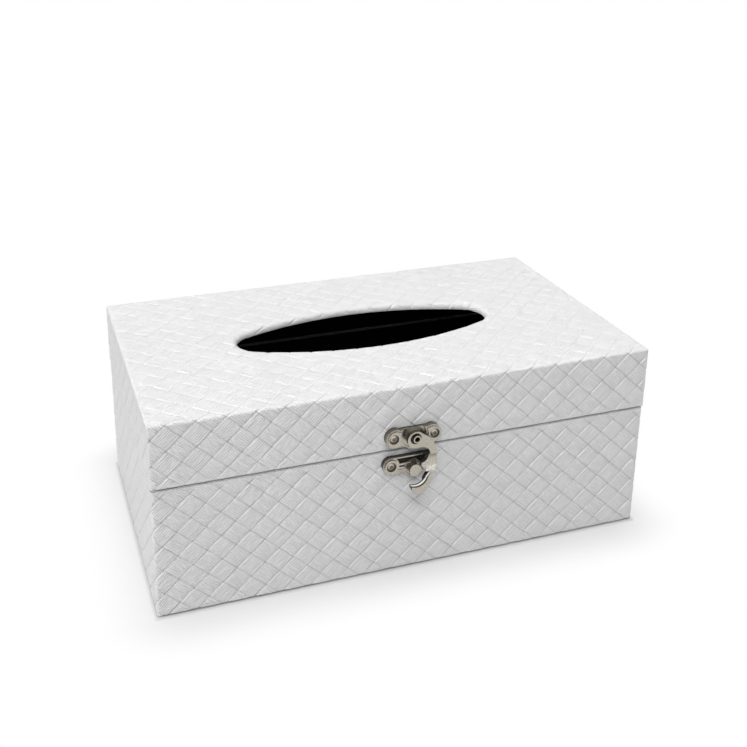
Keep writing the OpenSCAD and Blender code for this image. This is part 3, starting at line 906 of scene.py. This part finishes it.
class TISSUE_OT_lid_leather(Operator):
    """Wrap the lid in woven leatherette, turned over the rim and rolled into the slot"""

    bl_idname = "tissue.lid_leather"
    bl_label = "Lid leatherette"

    def execute(self, context):
        scene = context.scene
        sizes, slot = scene.leather_sizes, scene.slot_sizes
        plan = Plan(LID_LOW, LID_HIGH, sizes.corner)
        lip = sizes.lip
        seam_z = LID_HIGH.z - sizes.corner
        weave = Weave(sizes.lid_weave, sizes.lid_crossing, sizes)
        band, band_surface = wall_band(weave, plan, LID_LOW.z, seam_z, lip, False)

        def band_amount(s, t):
            beside = blend((abs(s) - plan.front) / EASE + 1)
            near_top = 1 - blend((seam_z - t) / EASE)
            off_seam = blend((plan.seam - abs(s)) / EASE)
            return (1 - beside * near_top) * off_seam * eased((t - LID_LOW.z) / RIM_HEIGHT)

        ease_relief(band, band_amount)
        above = plan.half.y - sizes.corner + seam_z + sizes.corner * QUARTER
        on_top = (sizes.lid_crossing[0], sizes.lid_crossing[1] - above)
        top_weave = Weave(sizes.lid_weave, on_top, sizes)
        oval = Oval(slot)
        top, top_surface = top_sheet(top_weave, plan, oval, sizes, slot)

        def top_amount(x, y):
            beyond = max(abs(x) - plan.half.x, y - plan.half.y) / sizes.corner + 1
            far = oval.distance(x, y)[0]
            pressed = blend((y + plan.half.y) / FRONT_REACH) * blend(far / SLOT_REACH)
            edge = 1 - blend((beyond - TURN_START) / TURN_SPAN)
            tucked = eased((far + SLOT_INNER) / SLOT_EASE)
            return edge * tucked * (1 - TOP_PRESSED * pressed)

        ease_relief(top, top_amount)
        edge_t = LID_LOW.z + lip - lip * QUARTER
        rim_width = sizes.wall + sizes.thickness - lip
        rims = rim_strips(weave, plan, LID_LOW.z, -1, lip, rim_width, edge_t, sizes.thickness)
        for _, strip, _ in rims:
            ease_relief(strip, lambda s, t: RIM_RELIEF)
        whole = joined([(weave, band, band_surface), (top_weave, top, top_surface), *rims])
        material = leatherette(scene.finishes)
        finish_piece(whole, "lid_leatherette", "lid", material, "lid_cover")
        return {"FINISHED"}


class TISSUE_OT_base_leather(Operator):
    """Wrap the box in woven leatherette, turned over the rim and under the bottom"""

    bl_idname = "tissue.base_leather"
    bl_label = "Box leatherette"

    # how far the turned-under strip folds up at its inner edge
    UNDER_FOLD = 0.0004

    def execute(self, context):
        scene = context.scene
        sizes = scene.leather_sizes
        plan = Plan(BASE_LOW, BASE_HIGH, sizes.corner)
        lip = sizes.lip
        weave = Weave(sizes.base_weave, sizes.base_crossing, sizes)
        band, surface = wall_band(weave, plan, BASE_LOW.z, BASE_HIGH.z, lip, True)

        def band_amount(s, t):
            off_seam = blend((plan.seam - abs(s)) / EASE)
            return off_seam * eased((BASE_HIGH.z - t) / RIM_HEIGHT)

        ease_relief(band, band_amount)
        rim_width = sizes.wall + sizes.thickness - lip
        upper_t = BASE_HIGH.z - lip + lip * QUARTER
        lower_t = BASE_LOW.z + lip - lip * QUARTER
        rims = rim_strips(weave, plan, BASE_HIGH.z, 1, lip, rim_width, upper_t, sizes.thickness)
        turned = sizes.turn_under - lip
        under = rim_strips(weave, plan, BASE_LOW.z, -1, lip, turned, lower_t, self.UNDER_FOLD)
        for _, strip, _ in rims + under:
            ease_relief(strip, lambda s, t: RIM_RELIEF)
        whole = joined([(weave, band, surface), *rims, *under])
        material = leatherette(scene.finishes)
        finish_piece(whole, "box_leatherette", "box", material, "base_cover")
        return {"FINISHED"}


class TISSUE_OT_linings(Operator):
    """Flock the two linings and the felt, and give the boards inside their own finish"""

    bl_idname = "tissue.linings"
    bl_label = "Linings, felt and boards"

    def execute(self, context):
        colours = context.scene.finishes
        joint = (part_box("base_lining")[1].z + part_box("lid_lining")[0].z) / 2
        lining = flocked("flocked_lining", colours.lining, (joint, colours.worn_rim))
        for node in ("base_lining", "lid_lining"):
            paint(node, lining)
        paint("underside_felt", flocked("black_felt", colours.felt))
        board = fibreboard(colours)
        for node in NODES:
            if node.endswith("_board"):
                paint(node, board)
        return {"FINISHED"}


class Casting(NamedTuple):
    """One part of the latch. Heights are measured outwards from the lid's front: up to the
    first all is black, and from the second on nothing is."""

    body: str
    rounding: float
    heights: tuple
    darkness: float  # of the sides, from 0 for the patina to 1 for the tarnish
    # a ring's dark is patina in a recess and painted shade
    ring: tuple = None  # where a dark ring starts and ends, from its centre


class TISSUE_OT_latch(Operator):
    """Round the edges of the latch's castings and give them their antique plating"""

    bl_idname = "tissue.latch"
    bl_label = "Latch"

    # the painted glint on the thumb tail's inner edge: the z that it lies under, and the heights
    # it lies between
    POLISHED = (0.0585, 0.0061, 0.0073)
    CASTINGS = {
        "latch_plate": Casting("lid", 0.00022, (0.0004, 0.0015), 0.0, (0.0019, 0.0024)),
        "latch_rivet": Casting("lid", 0.0002, (0.0050, 0.0062), 0.7),
        "latch_nails": Casting("lid", 0.0001, (0.0010, 0.0028), 0.5, (-1, 0.0009)),
        "latch_hook": Casting("hook", 0.0004, (0.0040, 0.0064), 0.8, (-1, 0.0027)),
        # its heights leave the channel floor black: painted shadow under the hook's arm
        "catch_plate": Casting("box", 0.00022, (0.0006, 0.0014), 0.35, (0.0019, 0.0024)),
        "catch_post": Casting("box", 0.00012, (0.0010, 0.0046), 0.5),
        "catch_nails": Casting("box", 0.0001, (0.0004, 0.0020), 0.5, (-1, 0.0009)),
    }
    # the node whose nails or rivet the dark rings on each go round; a ring is patina in a recess
    # and painted shade
    RINGED = {
        "latch_plate": "latch_nails",
        "latch_nails": "latch_nails",
        "latch_hook": "latch_rivet",
        "catch_plate": "catch_nails",
        "catch_nails": "catch_nails",
    }

    def execute(self, context):
        scene = context.scene
        for node, casting in self.CASTINGS.items():
            centres = self.centres(self.RINGED.get(node), scene.latch_sizes)
            glint_band = self.POLISHED if node == "latch_hook" else None
            name = f"nickel_{node}"
            material = antique_nickel(scene.finishes, name, casting, centres, glint_band)
            bm, name = softened(node, casting.rounding), f"{node}_casting"
            piece = finish_piece(bm, name, casting.body, material, node)
            piece.modifiers.new("weighted", "WEIGHTED_NORMAL").keep_sharp = True
        return {"FINISHED"}

    def centres(self, node, sizes):
        """Where the nails or the rivet's seat are, as x and z."""
        if node is None:
            return []
        low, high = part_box(node)
        if node == "latch_rivet":
            across, up = sizes.seat_offset
            return [((low.x + high.x) / 2 + across, (low.z + high.z) / 2 + up)]
        inset = sizes.nail_head
        return [(low.x + inset, low.z + inset), (high.x - inset, high.z - inset)]


class TISSUE_OT_hinges(Operator):
    """Round the hinges' edges and plate them"""

    bl_idname = "tissue.hinges"
    bl_label = "Hinges"

    # of the leaves' and pins' edges
    ROUNDING = 0.00012

    def execute(self, context):
        material = plain_nickel(context.scene.finishes)
        bodies = frame["record"]["behaviour"]["bodies"]
        for body, members in bodies.items():
            for node in members:
                if "hinge" in node:
                    bm, name = softened(node, self.ROUNDING), f"{node}_plated"
                    finish_piece(bm, name, body, material, node)
        return {"FINISHED"}


class TISSUE_OT_stage(Operator):
    """Set up the floor, the soft light and the camera"""

    bl_idname = "tissue.stage"
    bl_label = "Stage"

    FLOOR_RADIUS, FLOOR_Z = 6, -0.0001
    # each lamp's setting for its power, its place and its width; all point at the box
    LAMPS = {
        "overhead": ("key_watts", (0, 0, 2.4), 1.8),
        "left_fill": ("fill_watts", (-2.4, -0.2, 1.0), 1.4),
        "high_front": ("front_watts", (-0.5, -1.5, 2.0), 1.0),
    }
    AIM = Vector((0, 0, 0.05))
    # the floor is left as lit within this distance of the box, for a dark line under it
    CONTACT = 0.002
    # beside the two ends the floor's white starts sooner, and comes more slowly
    END_START, END_RATE = 0.02, 0.65

    def execute(self, context):
        stage = context.scene.stage_settings
        self.floor(context, stage)
        self.daylight(context.scene, stage)
        for name, (watts, spot, width) in self.LAMPS.items():
            self.lamp(context, name, spot, width, getattr(stage, watts))
        self.camera(context.scene, stage)
        return {"FINISHED"}

    def floor(self, context, stage):
        """A pale disc that shows the box's soft shadow, and is plain white further out."""
        bm = bmesh.new()
        bmesh.ops.create_circle(bm, cap_ends=True, segments=96, radius=self.FLOOR_RADIUS)
        bmesh.ops.translate(bm, verts=bm.verts[:], vec=(0, 0, self.FLOOR_Z))
        mesh = bpy.data.meshes.new("floor")
        bm.to_mesh(mesh)
        bm.free()
        floor = bpy.data.objects.new("floor", mesh)
        context.scene.collection.objects.link(floor)
        finish = Finish("pale_floor")
        place = finish.place()
        speck = place.noise(300.0, detail=2.0)
        shade = context.scene.finishes.floor
        finish.set(
            Base_Color=speck.mix(rgba(shade, 0.995), rgba(shade)),
            Roughness=0.9,
            Specular_IOR_Level=0.1,
        )
        seen = place.node("ShaderNodeLightPath", out="Is Camera Ray")
        outside = place.vector("ABSOLUTE").vector("SUBTRACT", (BASE_HIGH.x, BASE_HIGH.y, 0))
        beyond = outside.vector("MAXIMUM", (0, 0, 0)).vector("MULTIPLY", (1, 1, 0))
        clear = beyond.size().step(0.0, self.CONTACT)
        wider = outside.vector("ADD", (self.END_START, 0, 0)).vector("MAXIMUM", (0, 0, 0))
        gap = wider.vector("MULTIPLY", (self.END_RATE, 1, 0)).size()
        away = gap.step(self.CONTACT, stage.shadow_reach)
        white = place.node("ShaderNodeEmission", Color=(1, 1, 1, 1), Strength=1.0)
        lit = Wire(finish.tree, finish.shader.outputs[0])
        share = seen * clear * (away * (1 - stage.whiteness) + stage.whiteness)
        shown = place.node("ShaderNodeMixShader", i0=share, i1=lit, i2=white)
        output = finish.tree.nodes["Material Output"]
        finish.tree.links.new(shown.socket, output.inputs["Surface"])
        mesh.materials.append(finish.material)

    def daylight(self, scene, stage):
        """A dim world that the camera, and gloss and glass, see as white."""
        world = bpy.data.worlds.new("studio")
        world.use_nodes = True
        scene.world = world
        tree = world.node_tree
        start = Wire(tree, None)
        camera, glossy, through = (
            start.node("ShaderNodeLightPath", out=f"Is {ray} Ray")
            for ray in ("Camera", "Glossy", "Transmission")
        )
        seen = (camera + glossy + through).clamp()
        glow = start.node("ShaderNodeBackground", Color=(1, 1, 1, 1), Strength=stage.daylight)
        white = start.node("ShaderNodeBackground", Color=(1, 1, 1, 1), Strength=1.0)
        sky = start.node("ShaderNodeMixShader", i0=seen, i1=glow, i2=white)
        tree.links.new(sky.socket, tree.nodes["World Output"].inputs["Surface"])

    def lamp(self, context, name, spot, width, watts):
        """A round soft lamp."""
        light = bpy.data.lights.new(name, "AREA")
        light.shape = "DISK"
        light.size = width
        light.energy = watts
        lamp = bpy.data.objects.new(name, light)
        lamp.location = spot
        lamp.rotation_mode = "QUATERNION"
        lamp.rotation_quaternion = (self.AIM - lamp.location).to_track_quat("-Z", "Y")
        context.scene.collection.objects.link(lamp)

    def camera(self, scene, stage):
        """The camera at the picture's angle, and the plain view transform."""
        data = bpy.data.cameras.new("camera")
        data.sensor_width = SENSOR_MM
        data.lens = SENSOR_MM * stage.focal_pixels / PICTURE_PIXELS
        data.shift_x = (PICTURE_PIXELS / 2 - stage.centre_pixels[0]) / PICTURE_PIXELS
        data.shift_y = (stage.centre_pixels[1] - PICTURE_PIXELS / 2) / PICTURE_PIXELS
        data.clip_start, data.clip_end = 0.01, 50
        camera = bpy.data.objects.new("camera", data)
        turn = (
            Matrix.Rotation(stage.azimuth, 4, "Z")
            @ Matrix.Rotation(QUARTER - stage.elevation, 4, "X")
            @ Matrix.Rotation(stage.roll, 4, "Z")
        )
        camera.matrix_world = Matrix.Translation(stage.position) @ turn
        scene.collection.objects.link(camera)
        scene.camera = camera
        scene.view_settings.view_transform = "Standard"


class TISSUE_PT_box(Panel):
    """Sidebar panel with a button for each group of pieces, and their sizes and colours"""

    bl_idname = "TISSUE_PT_box"
    bl_label = "Tissue Box"
    bl_space_type = "VIEW_3D"
    bl_region_type = "UI"
    bl_category = "Tissue Box"

    def draw(self, context):
        column = self.layout.column(align=True)
        for operator in PIECES:
            column.operator(operator.bl_idname)
        for group in GROUPS:
            settings = getattr(context.scene, group)
            box = self.layout.box()
            for name in settings.__annotations__:
                box.prop(settings, name)


GROUPS = {
    "leather_sizes": LeatherSizes,
    "slot_sizes": SlotSizes,
    "latch_sizes": LatchSizes,
    "finishes": Finishes,
    "stage_settings": StageSettings,
}
PIECES = (
    TISSUE_OT_stage,
    TISSUE_OT_lid_leather,
    TISSUE_OT_base_leather,
    TISSUE_OT_linings,
    TISSUE_OT_latch,
    TISSUE_OT_hinges,
)


def register():
    for group in GROUPS.values():
        bpy.utils.register_class(group)
    for name, group in GROUPS.items():
        setattr(bpy.types.Scene, name, PointerProperty(type=group))
    for operator in PIECES:
        bpy.utils.register_class(operator)
    bpy.utils.register_class(TISSUE_PT_box)


def unregister():
    bpy.utils.unregister_class(TISSUE_PT_box)
    for operator in reversed(PIECES):
        bpy.utils.unregister_class(operator)
    for name, group in GROUPS.items():
        delattr(bpy.types.Scene, name)
        bpy.utils.unregister_class(group)


def main():
    register()
    for operator in PIECES:
        module, name = operator.bl_idname.split(".")
        getattr(getattr(bpy.ops, module), name)()


if __name__ == "__main__":
    main()
